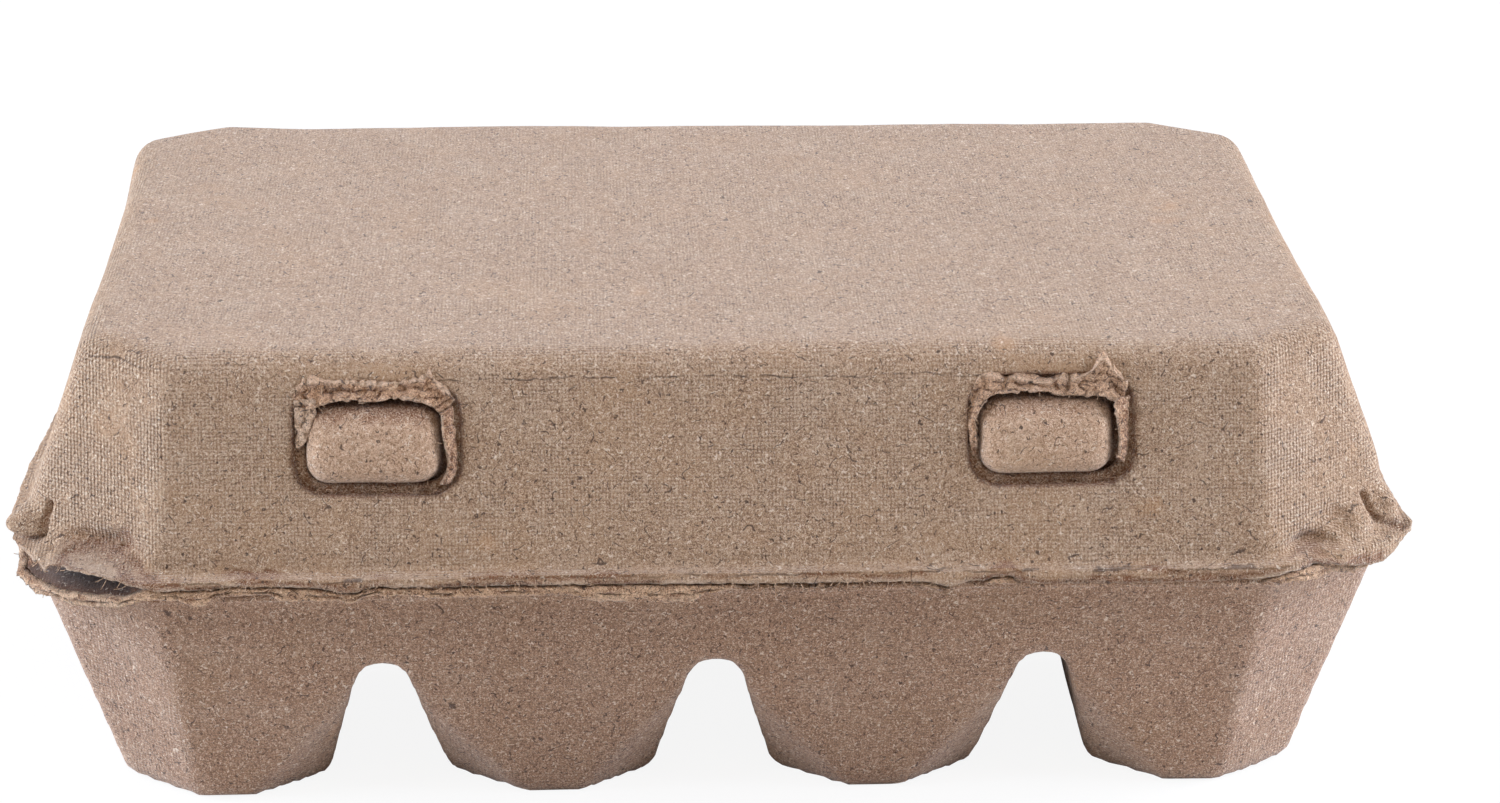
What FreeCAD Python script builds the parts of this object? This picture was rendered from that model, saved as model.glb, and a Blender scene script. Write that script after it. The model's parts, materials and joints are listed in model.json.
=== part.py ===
import FreeCAD, Part
import os
from math import cos, radians, sin, tan

V = FreeCAD.Vector

# A hinged carton of moulded pulp for two rows of four hens' eggs.
# Millimetres and degrees. X runs along the length, -Y is the latch side, +Z is up.
# The origin lies under the middle of the carton, in the plane of its feet.

# Whole carton
carton_height = 70.0         # feet to the flat top of the lid
rim_height = 39.8            # feet to the plane where tray and lid meet
pulp = 1.8                   # thickness of the moulded wall
corner_slant = 0.63          # depth of a corner facet for each unit of its run along X

# Cells
columns = 4
column_pitch = 47.5          # along X
row_pitch = 57.1             # along Y, front row to back row

# Tunnels between the legs, under the tray
tunnel_crown = 23.8          # feet to the underside of a tunnel's crown
crown_radius = 4.0
leg_draft = 12.9             # lean of a tunnel's side from the vertical

# Outer walls and legs of the tray
end_draft = 16.7             # lean of the end walls from the vertical
side_draft = 9.5             # lean of the long walls from the vertical
foot_corner = 11.9           # run of a leg's corner facets, at the foot
mouth_corner = 19.6          # run of the tray's four corner facets, at the rim
leg_corner_top = 20.0        # height at which a leg's inner corner facets die out
tray_round = 2.4             # rounding under the feet and of the tray's upright corner edges

# Rim
end_land = 1.7               # tray's rim land, beyond the end walls
side_land = 4.9              # tray's rim land, beyond the long walls
rim_corner = 21.8            # run of the rim's four corner facets
lip = 0.8                    # lid's rim lip, beyond the foot of its wall

# Posts between the cells
post_height = 58.0
post_foot_height = 18.0
post_foot_half = 8.4         # half width of a post, outside, at its foot
post_top_half = 5.0          # half width of a post, outside, at its top
post_facet = 0.3             # part of the half width that a post's corner facets take

# Lid
lid_draft = 20.5             # lean of the lid's walls from the vertical
top_corner = 12.3            # run of the corner facets at the lid's top
lid_round = 5.0              # rounding of the lid's top and corner edges

# Latch windows in the lid's front wall
window_spacing = 93.6        # centre to centre
window_drop = 11.6           # from the lid's top to a window's middle, along the wall
window_length = 20.2
window_height = 12.8
window_corner = 3.2
recess_margin = 1.5          # width of the sunk frame around a window
recess_depth = 1.0

# Locking flap, inside the lid's front wall
flap_clearance = 0.4         # between the flap and the lid's sunk window frames
flap_thickness = 1.4
flap_length = 146.0
flap_gap = 4.2               # from the lid's top to the flap's free edge, along the wall
flap_corner = 9.0
button_clearance = 0.7       # around a button, in its window
button_proud = 1.4           # how far a button stands out of the lid's wall
button_corner = 3.3
button_round = 2.6

# Cutting solids
overshoot = 5.0              # how far they run past what they cut
wedge_margin = 0.3           # how much wider a wedge is than the corner it takes off
touching = 0.01              # heights closer than this count as equal

# Places that follow from the sizes above
crown_centre = tunnel_crown - crown_radius
tunnel_half = (crown_radius * cos(radians(leg_draft))
               + (crown_centre + crown_radius * sin(radians(leg_draft))) * tan(radians(leg_draft)))
foot_half_length = columns * column_pitch / 2 - tunnel_half
foot_half_width = row_pitch - tunnel_half
mouth_half_length = foot_half_length + rim_height * tan(radians(end_draft))
mouth_half_width = foot_half_width + rim_height * tan(radians(side_draft))
rim_half_length = mouth_half_length + end_land
rim_half_width = mouth_half_width + side_land
lid_half_length = rim_half_length - lip
lid_half_width = rim_half_width - lip
lid_inset = (carton_height - rim_height) * tan(radians(lid_draft))
lid_wall_length = (carton_height - rim_height) / cos(radians(lid_draft))
window_rise = lid_wall_length - window_drop
flap_height = lid_wall_length - flap_gap
tunnel_places = [(k - (columns - 2) / 2) * column_pitch for k in range(columns - 1)]
window_places = [-window_spacing / 2, window_spacing / 2]
flap_root = pulp + recess_depth + flap_clearance + flap_thickness
button_length = window_length - 2 * button_clearance
button_height = window_height - 2 * button_clearance


# --- planes and solids made from them ---

def plane_through(a, b, c):
    """A plane as a point and a unit normal; a, b, c run anticlockwise seen from outside."""
    return a, (b - a).cross(c - a).normalize()


def shifted(plane, distance):
    point, normal = plane
    return point + normal * distance, normal


def level(z):
    return V(0, 0, z), V(0, 0, 1)


def meet(first, second, third):
    """The point where three planes meet."""
    (a, na), (b, nb), (c, nc) = first, second, third
    whole = nb.cross(nc) * a.dot(na) + nc.cross(na) * b.dot(nb) + na.cross(nb) * c.dot(nc)
    return whole * (1 / na.dot(nb.cross(nc)))


def polygon_face(points):
    return Part.Face(Part.makePolygon(points + points[:1]))


def octagon(half_x, half_y, corner, z, slant=corner_slant):
    """Anticlockwise outline with four corner facets, from the front end of the +X side."""
    corner_y = corner * slant
    right = [V(half_x, corner_y - half_y, z), V(half_x, half_y - corner_y, z)]
    back = [V(half_x - corner, half_y, z), V(corner - half_x, half_y, z)]
    left = [V(-half_x, half_y - corner_y, z), V(-half_x, corner_y - half_y, z)]
    front = [V(corner - half_x, -half_y, z), V(half_x - corner, -half_y, z)]
    return right + back + left + front


def walls_between(lower, upper):
    """The eight side planes that join two octagons."""
    return [plane_through(lower[i], lower[(i + 1) % 8], upper[i]) for i in range(8)]


def ring_at(walls, z):
    """Outline of a set of side planes at one height."""
    return [meet(walls[i - 1], walls[i], level(z)) for i in range(8)]


def frustum(walls, inset, z_low, z_high):
    """Solid inside the side planes, all moved inwards by one distance."""
    moved = [shifted(wall, -inset) for wall in walls]
    low = ring_at(moved, z_low)
    high = ring_at(moved, z_high)
    faces = [polygon_face(low[::-1]), polygon_face(high)]
    for i in range(8):
        j = (i + 1) % 8
        faces.append(polygon_face([low[i], low[j], high[j], high[i]]))
    return Part.Solid(Part.Shell(faces))


def tetrahedron(a, b, c, top):
    faces = [polygon_face(points) for points in ([a, b, c], [a, b, top], [b, c, top], [c, a, top])]
    solid = Part.Solid(Part.Shell(faces))
    if solid.Volume < 0:
        solid.reverse()
    return solid


def rounded(solid, radius, chosen):
    """Fillet the edges of a solid that the test picks out."""
    return solid.makeFillet(radius, [edge for edge in solid.Edges if chosen(edge)])


def is_upright(edge):
    return edge.BoundBox.ZLength > edge.Length / 2


def reaches(z_low, z_high):
    """Test for edges that run from one height to another."""
    return lambda edge: (abs(edge.BoundBox.ZMin - z_low) < touching
                         and abs(edge.BoundBox.ZMax - z_high) < touching)


def lies_at(z):
    return reaches(z, z)


# --- tray ---

def tray_walls():
    return walls_between(
        octagon(foot_half_length, foot_half_width, foot_corner, 0),
        octagon(mouth_half_length, mouth_half_width, mouth_corner, rim_height))


def tunnel(grow, reach):
    """A vaulted tunnel along Y, its walls moved outwards by grow."""
    radius = crown_radius + grow
    lean = radians(leg_draft)
    half_high = radius * cos(lean)
    z_high = crown_centre + radius * sin(lean)
    z_low = -overshoot
    half_low = half_high + (z_high - z_low) * tan(lean)
    crown = Part.Arc(V(half_high, 0, z_high), V(0, 0, crown_centre + radius), V(-half_high, 0, z_high))
    sides = Part.makePolygon([V(-half_high, 0, z_high), V(-half_low, 0, z_low),
                              V(half_low, 0, z_low), V(half_high, 0, z_high)])
    outline = Part.Wire([crown.toShape()] + sides.Edges)
    return Part.Face(outline).extrude(V(0, 2 * reach, 0)).translated(V(0, -reach, 0))


def tunnels(grow):
    """The tunnels across the carton and the one along it."""
    across = tunnel(grow, rim_half_width + overshoot)
    along = tunnel(grow, rim_half_length + overshoot)
    along.rotate(V(0, 0, 0), V(0, 0, 1), 90)
    return [across.translated(V(x, 0, 0)) for x in tunnel_places] + [along]


def tunnel_side(x, facing):
    """Side plane of a leg beside the tunnel at x; facing is +1 where the leg looks to +X."""
    lean = radians(leg_draft)
    return V(x - facing * tunnel_half, 0, 0), V(facing * cos(lean), 0, -sin(lean))


def row_side(facing):
    """Side plane of a leg beside the lengthwise tunnel; facing is +1 where it looks to +Y."""
    lean = radians(leg_draft)
    return V(0, -facing * tunnel_half, 0), V(0, facing * cos(lean), -sin(lean))


def corner_cut(across, lengthwise, grow):
    """Wedge that bevels one upright edge of a leg, wide at the foot and nothing higher up."""
    foot = meet(across, lengthwise, level(0))
    apex = meet(across, lengthwise, level(leg_corner_top))
    run = V(-across[1].x, 0, 0).normalize() * foot_corner
    depth = V(0, -lengthwise[1].y, 0).normalize() * foot_corner * corner_slant
    bevel = plane_through(foot + run, foot + depth, apex)
    if bevel[1].x * across[1].x < 0:
        bevel = bevel[0], bevel[1] * -1
    side, wall, facet = [shifted(plane, -grow) for plane in (across, lengthwise, bevel)]
    base = level(-overshoot)
    corner = meet(side, wall, base)
    on_wall = meet(wall, facet, base)
    on_side = meet(side, facet, base)
    along = (on_wall - on_side) * wedge_margin
    outwards = (corner * 2 - on_wall - on_side) * wedge_margin
    return tetrahedron(on_wall + along, on_side - along, corner + outwards, meet(side, wall, facet))


def corner_cuts(grow):
    """Bevels on every upright leg edge, apart from the tray's own four corners."""
    right, _, back, _, left, _, front, _ = tray_walls()
    cuts = []
    for x in tunnel_places:
        for facing in (-1, 1):
            for wall in (front, back, row_side(-1), row_side(1)):
                cuts.append(corner_cut(tunnel_side(x, facing), wall, grow))
    for end in (left, right):
        for facing in (-1, 1):
            cuts.append(corner_cut(end, row_side(facing), grow))
    return cuts


def legs(inset, z_high):
    """Everything inside the tray's outer skin, or inside its inner skin when inset by the wall."""
    block = frustum(tray_walls(), inset, inset, z_high)
    return block.cut(tunnels(inset)).cut(corner_cuts(inset))


def tray_outside():
    under_foot = lies_at(0)
    corners = reaches(0, rim_height)
    return rounded(legs(0, rim_height), tray_round, lambda edge: under_foot(edge) or corners(edge))


def tray_inside():
    return rounded(legs(pulp, rim_height + overshoot), tray_round - pulp / 2, lies_at(pulp))


def posts(inset):
    """Posts over the crossings of the tunnels, or their hollows when inset by the wall."""
    foot = octagon(post_foot_half, post_foot_half, post_foot_half * post_facet, post_foot_height, 1)
    top = octagon(post_top_half, post_top_half, post_top_half * post_facet, post_height, 1)
    post = frustum(walls_between(foot, top), inset, post_foot_height, post_height - inset)
    return [post.translated(V(x, 0, 0)) for x in tunnel_places]


def rim_plate(z_low, z_high):
    outline = polygon_face(octagon(rim_half_length, rim_half_width, rim_corner, z_low))
    return outline.extrude(V(0, 0, z_high - z_low))


def tray():
    hollow = frustum(tray_walls(), pulp, 0, rim_height + overshoot)
    land = rim_plate(rim_height - pulp, rim_height).cut(hollow)
    shell = tray_outside().cut(tray_inside()).fuse(land)
    cores = [post.cut(tunnels(0)) for post in posts(0)]
    return shell.fuse(cores).cut(posts(pulp)).removeSplitter()


# --- lid ---

def lid_walls():
    return walls_between(
        octagon(lid_half_length, lid_half_width, rim_corner, rim_height),
        octagon(lid_half_length - lid_inset, lid_half_width - lid_inset, top_corner, carton_height))


def on_front_wall(solid, x, rise, depth):
    """Lay a flat solid against the lid's front wall: rise up the wall, depth below its outer face."""
    lean = radians(lid_draft)
    outwards = V(0, -cos(lean), sin(lean))
    up = V(0, sin(lean), cos(lean))
    place = V(x, -lid_half_width, rim_height) + up * rise - outwards * depth
    moved = solid.copy()
    moved.Placement = FreeCAD.Placement(place, FreeCAD.Rotation(V(1, 0, 0), 90 - lid_draft))
    return moved


def slab(length, height, corner, thickness):
    """Flat plate with rounded corners, centred on the origin, from z = 0 up."""
    box = Part.makeBox(length, height, thickness, V(-length / 2, -height / 2, 0))
    return rounded(box, corner, is_upright)


def lid_blank(inset, z_low):
    top = carton_height - inset
    blank = frustum(lid_walls(), inset, z_low, top)
    return rounded(blank, lid_round - inset, lambda edge: is_upright(edge) or lies_at(top)(edge))


def window_slab(x, margin, depth, thickness):
    """Solid over a window and a margin around it, from a depth under the wall's face outwards."""
    plate = slab(window_length + 2 * margin, window_height + 2 * margin, window_corner + margin, thickness)
    return on_front_wall(plate, x, window_rise, depth)


def window_frame(x):
    """The sunk frame's body, which stands in behind the wall."""
    return window_slab(x, recess_margin + pulp, pulp + recess_depth, recess_depth + pulp / 2)


def window_cuts(x):
    """The sunk face of the frame and the window through it."""
    sunk = window_slab(x, recess_margin, recess_depth, recess_depth + overshoot)
    hole = window_slab(x, 0, pulp + recess_depth + overshoot, pulp + recess_depth + 2 * overshoot)
    return [sunk, hole]


def lid():
    outer = lid_blank(0, rim_height)
    inner = lid_blank(pulp, rim_height - overshoot)
    hollow = frustum(lid_walls(), pulp, rim_height - overshoot, rim_height + overshoot)
    lip_plate = rim_plate(rim_height, rim_height + pulp).cut(hollow)
    frames = [window_frame(x) for x in window_places]
    shell = outer.cut(inner).fuse(lip_plate).fuse(frames)
    for x in window_places:
        shell = shell.cut(window_cuts(x))
    return shell.removeSplitter()


# --- locking flap ---

def flap_leaf():
    """The leaf that stands on the tray's front land, close behind the lid's front wall."""
    leaf = slab(flap_length, flap_height * 2, flap_corner, flap_thickness)
    placed = on_front_wall(leaf, 0, 0, flap_root)
    below = Part.makeBox(flap_length, rim_half_width * 2, flap_height * 2,
                         V(-flap_length / 2, -rim_half_width * 2, rim_height - flap_height * 2))
    return placed.cut(below)


def button(x):
    """Pillow that stands out through a window."""
    rise = flap_root + button_proud
    pillow = slab(button_length, button_height, button_corner, rise)
    return on_front_wall(rounded(pillow, button_round, lies_at(rise)), x, window_rise, flap_root)


def button_hollow(x):
    """The pillow's open back."""
    rise = flap_root + button_proud - flap_thickness
    hollow = slab(button_length - 2 * flap_thickness, button_height - 2 * flap_thickness,
                  button_corner - flap_thickness, rise)
    return on_front_wall(hollow, x, window_rise, flap_root)


def locking_flap():
    flap = flap_leaf().fuse([button(x) for x in window_places])
    return flap.cut([button_hollow(x) for x in window_places]).removeSplitter()


parts = {"tray": tray, "lid": lid, "locking_flap": locking_flap}
os.makedirs("parts", exist_ok=True)
for name, make in parts.items():
    shape = make()
    shape.exportStep("parts/" + name + ".step")
    box = shape.BoundBox
    print(name, "solids", len(shape.Solids), "valid", shape.isValid(), "volume", round(shape.Volume),
          "size", round(box.XLength, 2), round(box.YLength, 2), "top", round(box.ZMax, 2))
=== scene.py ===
import json
import math
import random

import bpy
from mathutils import Matrix, Vector
from mathutils.noise import noise


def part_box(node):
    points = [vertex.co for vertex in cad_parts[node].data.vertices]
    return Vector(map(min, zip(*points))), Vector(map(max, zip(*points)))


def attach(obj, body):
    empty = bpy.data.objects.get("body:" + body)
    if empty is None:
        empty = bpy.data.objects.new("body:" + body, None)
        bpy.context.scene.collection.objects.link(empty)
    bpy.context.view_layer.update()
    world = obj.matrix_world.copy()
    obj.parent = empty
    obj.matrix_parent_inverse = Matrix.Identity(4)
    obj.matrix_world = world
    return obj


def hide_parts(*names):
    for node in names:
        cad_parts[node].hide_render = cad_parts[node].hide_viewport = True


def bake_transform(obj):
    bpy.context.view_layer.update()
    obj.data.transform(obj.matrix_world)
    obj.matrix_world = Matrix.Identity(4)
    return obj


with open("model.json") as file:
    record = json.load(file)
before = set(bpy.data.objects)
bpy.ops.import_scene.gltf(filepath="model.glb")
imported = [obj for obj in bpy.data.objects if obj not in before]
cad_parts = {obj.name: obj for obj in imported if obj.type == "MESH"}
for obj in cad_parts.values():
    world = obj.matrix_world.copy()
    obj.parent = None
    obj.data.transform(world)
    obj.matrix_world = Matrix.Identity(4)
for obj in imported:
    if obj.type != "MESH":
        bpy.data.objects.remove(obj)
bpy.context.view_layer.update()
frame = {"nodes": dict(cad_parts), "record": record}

mm = 0.001

# Places read from the frame, in mm as all shaping below is
hinge = Vector(frame["record"]["behaviour"]["joints"][0]["pos_m"]) / mm
rimHeight = hinge.z
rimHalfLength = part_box("tray")[1][0] / mm
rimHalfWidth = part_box("tray")[1][1] / mm

# The lid's front wall is a leaning plane: u runs along it, s up it from the rim, n out of it
wallLean = math.radians(20.5)
wallFoot = Vector((0, -59.2, rimHeight))
upWall = Vector((0, math.sin(wallLean), math.cos(wallLean)))
outWall = Vector((0, -math.cos(wallLean), math.sin(wallLean)))


def onWall(u, s, n):
    return Vector((u, 0, 0)) + wallFoot + upWall * s + outWall * n


def wallPlace(point):
    away = point - wallFoot
    return away.x, away.dot(upWall), away.dot(outWall)


# Handling of pieces

def only(piece):
    bpy.ops.object.select_all(action="DESELECT")
    piece.select_set(True)
    bpy.context.view_layer.objects.active = piece


def added(name, data):
    piece = bpy.data.objects.new(name, data)
    bpy.context.collection.objects.link(piece)
    only(piece)
    return piece


def flatGrid(name, columns, rows):
    bpy.ops.object.select_all(action="DESELECT")
    bpy.ops.mesh.primitive_grid_add(x_subdivisions=columns, y_subdivisions=rows, size=1)
    bpy.context.object.name = name
    return bpy.context.object


def finishWith(piece, kind, **settings):
    modifier = piece.modifiers.new(kind, kind)
    for key, value in settings.items():
        setattr(modifier, key, value)
    only(piece)
    bpy.ops.object.modifier_apply(modifier=modifier.name)


def smoothShaded(piece):
    only(piece)
    bpy.ops.object.shade_smooth()
    return piece


def facedOut(piece):
    only(piece)
    bpy.ops.object.mode_set(mode="EDIT")
    bpy.ops.mesh.select_all(action="SELECT")
    bpy.ops.mesh.normals_make_consistent(inside=False)
    bpy.ops.object.mode_set(mode="OBJECT")
    return piece


def reshaped(piece, rule):
    # moves each vertex by a rule that works in mm
    for vertex in piece.data.vertices:
        vertex.co = rule(vertex.co / mm) * mm


def painted(piece, rule):
    # red is torn and fluffy, green is brown: mostly painted shade in creases, dents, recesses and gaps,
    # with some real browning; blue is tanned
    finishAndShade = piece.data.attributes.new("finishAndShade", "FLOAT_COLOR", "POINT")
    for vertex, entry in zip(piece.data.vertices, finishAndShade.data):
        entry.color = (*rule(vertex.co / mm), 1)


def eased(value, low, high):
    # 0 at low, 1 at high, smooth between
    share = min(max((value - low) / (high - low), 0), 1)
    return share * share * (3 - 2 * share)


def near(point, centre, reach):
    # 1 at the centre, 0 beyond the reach
    away = sum(((p - c) / r) ** 2 for p, c, r in zip(point, centre, reach))
    return 0 if away >= 1 else (1 - away) ** 2


def along(points, place):
    # the value at a place on a line of (place, value) points
    if place <= points[0][0]:
        return points[0][1]
    for (a, low), (b, high) in zip(points, points[1:]):
        if place <= b:
            return low + (high - low) * eased(place, a, b)
    return points[-1][1]


def ragged(place, size, reach, seed):
    # an uneven edge: slow waves with fine teeth on them
    wave = noise(Vector((place / size, seed, 0)))
    teeth = noise(Vector((place / size * 3.7, seed, 5)))
    return reach * (wave + 0.5 * teeth)


# Pulp is laid wet on a wire form, so its walls wander a little and are never quite flat

def remeshed(node, name, grain, smoothing):
    piece = added(name, frame["nodes"][node].data.copy())
    bpy.ops.object.mode_set(mode="EDIT")
    bpy.ops.mesh.select_all(action="SELECT")
    bpy.ops.mesh.remove_doubles(threshold=0.001 * mm)
    bpy.ops.object.mode_set(mode="OBJECT")
    piece.data.materials.clear()
    finishWith(piece, "REMESH", mode="VOXEL", voxel_size=grain * mm)
    finishWith(piece, "SMOOTH", factor=0.5, iterations=smoothing)
    return piece


def thinned(piece, share, isFine):
    # takes faces out of the plain places and leaves the fine ones whole
    spare = piece.vertex_groups.new(name="spare")
    spare.add([v.index for v in piece.data.vertices if not isFine(v.co / mm)], 1.0, "REPLACE")
    finishWith(piece, "DECIMATE", ratio=share, vertex_group="spare")
    piece.vertex_groups.clear()


def wander(piece, plan):
    texture = bpy.data.textures.new("wander", "CLOUDS")
    texture.cloud_type = "COLOR"
    texture.noise_scale = plan["wanderSize"] * mm
    texture.noise_depth = 1
    finishWith(piece, "DISPLACE", texture=texture, direction="RGB_TO_XYZ",
               texture_coords="LOCAL", strength=plan["wanderReach"] * mm, mid_level=0.5)


def lumps(piece, plan):
    texture = bpy.data.textures.new("lumps", "CLOUDS")
    texture.noise_scale = plan["lumpSize"] * mm
    texture.noise_depth = 2
    finishWith(piece, "DISPLACE", texture=texture, direction="NORMAL",
               texture_coords="LOCAL", strength=plan["lumpHeight"] * mm, mid_level=0.5)


pulpForm = {"wanderSize": 38, "wanderReach": 0.9, "lumpSize": 7, "lumpHeight": 0.20}   # mm


# The rim's outline: which way is outwards from it, and how far a point is from it

rimCorner = (21.8, 13.7)      # what each corner's slant takes off the length and the width
slantLong = math.hypot(*rimCorner)
slantOut = Vector((rimCorner[1] / slantLong, rimCorner[0] / slantLong, 0))
slantAway = slantOut.x * (rimHalfLength - rimCorner[0]) + slantOut.y * rimHalfWidth


def rimSide(point):
    sideX, sideY = math.copysign(1, point.x), math.copysign(1, point.y)
    faces = ((abs(point.y) - rimHalfWidth, Vector((0, sideY, 0))),
             (abs(point.x) - rimHalfLength, Vector((sideX, 0, 0))),
             (abs(point.x) * slantOut.x + abs(point.y) * slantOut.y - slantAway,
              Vector((sideX * slantOut.x, sideY * slantOut.y, 0))))
    furthest = max(face[0] for face in faces)
    outwards = sum((way * math.exp((away - furthest) / 1.5) for away, way in faces), Vector())
    return furthest, outwards.normalized()


def cornerShare(point):
    # 1 in the middle of a slanted corner, 0 at its ends and along the sides
    t = ((abs(point.x) - (rimHalfLength - rimCorner[0] / 2)) * slantOut.y
         - (abs(point.y) - (rimHalfWidth - rimCorner[1] / 2)) * slantOut.x)
    return max(0, 1 - (2 * t / slantLong) ** 2)


# Materials

def fromHex(code):
    channels = [int(code[i:i + 2], 16) / 255 for i in (1, 3, 5)]
    return [c / 12.92 if c <= 0.04045 else ((c + 0.055) / 1.055) ** 2.4 for c in channels] + [1]


def addNode(tree, kind, inputs=(), operation=None, **settings):
    # inputs come in order or by name: a value, one output of a node, or a node for its first output
    node = tree.nodes.new("ShaderNode" + kind)
    if operation:
        node.operation = operation
    for key, value in settings.items():
        setattr(node, key, value)
    for key, value in inputs.items() if isinstance(inputs, dict) else enumerate(inputs):
        if isinstance(value, bpy.types.Node):
            value = value.outputs[0]
        if isinstance(value, bpy.types.NodeSocket):
            tree.links.new(value, node.inputs[key])
        else:
            node.inputs[key].default_value = value
    return node


lidPulpLook = {
    "body": "#af8f71",        # dry grey-brown pulp
    "shade": "#6f5139",       # between the fibres
    "warm": "#a98460",        # tan drifts
    "pale": "#e2cfb8",        # bleached fibres and flecks
    "dark": "#40291c",        # bark and ink fibres; also painted shade in hairline cracks and the darkest gaps
    "stain": "#b98a5c",       # faint rust-coloured spots
    "torn": "#ccb096",        # fluffy torn edges
    "brown": "#74482a",       # painted shade in creases, dents and sunk places, and browned pulp
    "roughness": 0.92,
    "grain": 0.28,            # mm, the finest fibres, drawn coarser than real ones so that they show
    "felt": 1.1,              # mm, thicker and thinner deposits
    "clouds": 17.0,           # mm, uneven drying
    "fibre": (2.6, 1.7, 0.14),       # mm between long fibres, their length and width
    "shortFibre": (0.9, 0.7, 0.12),
    "fleck": 1.5,             # mm between flecks
    "wire": 0.5,              # mm, the wire form's mesh, drawn coarser than a real one so that it shows
    "wireDepth": 0.034,       # mm
    "grainDepth": 0.33,       # mm
    # hairline cracks, drawn as thin lines of painted shade: height, wavering, middle and half length, mm
    "creases": ((66.7, 2.0, 0.0, 56.0), (41.5, 1.2, 0.0, 90.0), (68.0, 1.6, -83.0, 6.0)),
}
trayPulpLook = dict(lidPulpLook, body="#a47f63", shade="#654a37", warm="#957353",
                    wireDepth=0.012, grainDepth=0.20, creases=())
flapPulpLook = dict(lidPulpLook, body="#c29e80", shade="#85664a", warm="#b5916a",
                    wireDepth=0.0, creases=())
tornPulpLook = dict(lidPulpLook, body="#c99b76", shade="#6f4a2d", pale="#f2d0ac", torn="#efc8a4",
                    grain=0.30, shortFibre=(1.0, 1.0, 0.14), wireDepth=0.0, grainDepth=0.55, creases=())
tornRimLook = dict(tornPulpLook, body="#d2aa86", shade="#7c5a3b")


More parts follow.
